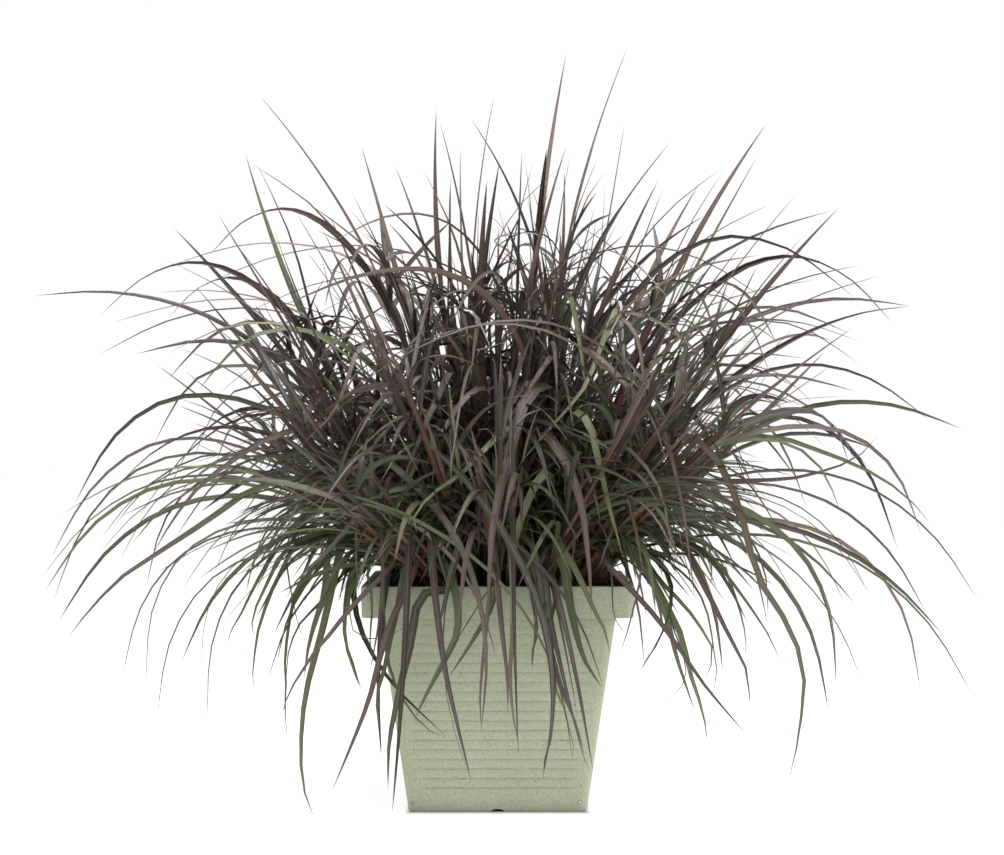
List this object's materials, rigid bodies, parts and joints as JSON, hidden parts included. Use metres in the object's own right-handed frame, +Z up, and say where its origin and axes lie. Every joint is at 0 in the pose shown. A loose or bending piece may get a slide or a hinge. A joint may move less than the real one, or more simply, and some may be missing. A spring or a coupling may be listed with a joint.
{
  "type": "potted ornamental grass",
  "caption": "Clump of purple ornamental grass with upright spears and long arching strap leaves, in a square tapered planter with ribbed sides and an overhanging rim.",
  "frame": {"origin": "middle of the planter's underside, on the surface that it stands on", "axes": "+Z up, -Y towards the side that the picture shows, +X to that side's right"},
  "size_m": [1.3689, 1.2216, 1.0975],
  "materials": {
    "planter": "matte",
    "soil": "rough",
    "grass": "satin"
  },
  "bodies": {
    "root": {"pot": "planter", "soil": "soil", "tiller_01": "grass", "tiller_02": "grass", "tiller_03": "grass", "tiller_04": "grass", "tiller_05": "grass", "tiller_06": "grass", "tiller_07": "grass", "tiller_08": "grass", "tiller_09": "grass", "tiller_10": "grass", "tiller_11": "grass", "tiller_12": "grass", "tiller_13": "grass", "tiller_14": "grass", "tiller_15": "grass", "tiller_16": "grass", "tiller_17": "grass", "tiller_18": "grass", "tiller_19": "grass", "tiller_20": "grass", "tiller_21": "grass", "tiller_22": "grass", "tiller_23": "grass", "tiller_24": "grass", "tiller_25": "grass", "tiller_26": "grass", "tiller_27": "grass", "tiller_28": "grass", "tiller_29": "grass", "tiller_30": "grass", "tiller_31": "grass", "tiller_32": "grass", "tiller_33": "grass", "tiller_34": "grass", "tiller_35": "grass", "tiller_36": "grass", "tiller_37": "grass", "tiller_38": "grass", "tiller_39": "grass", "tiller_40": "grass", "tiller_41": "grass", "tiller_42": "grass", "tiller_43": "grass", "tiller_44": "grass", "tiller_45": "grass", "tiller_46": "grass"}
  },
  "joints": []
}
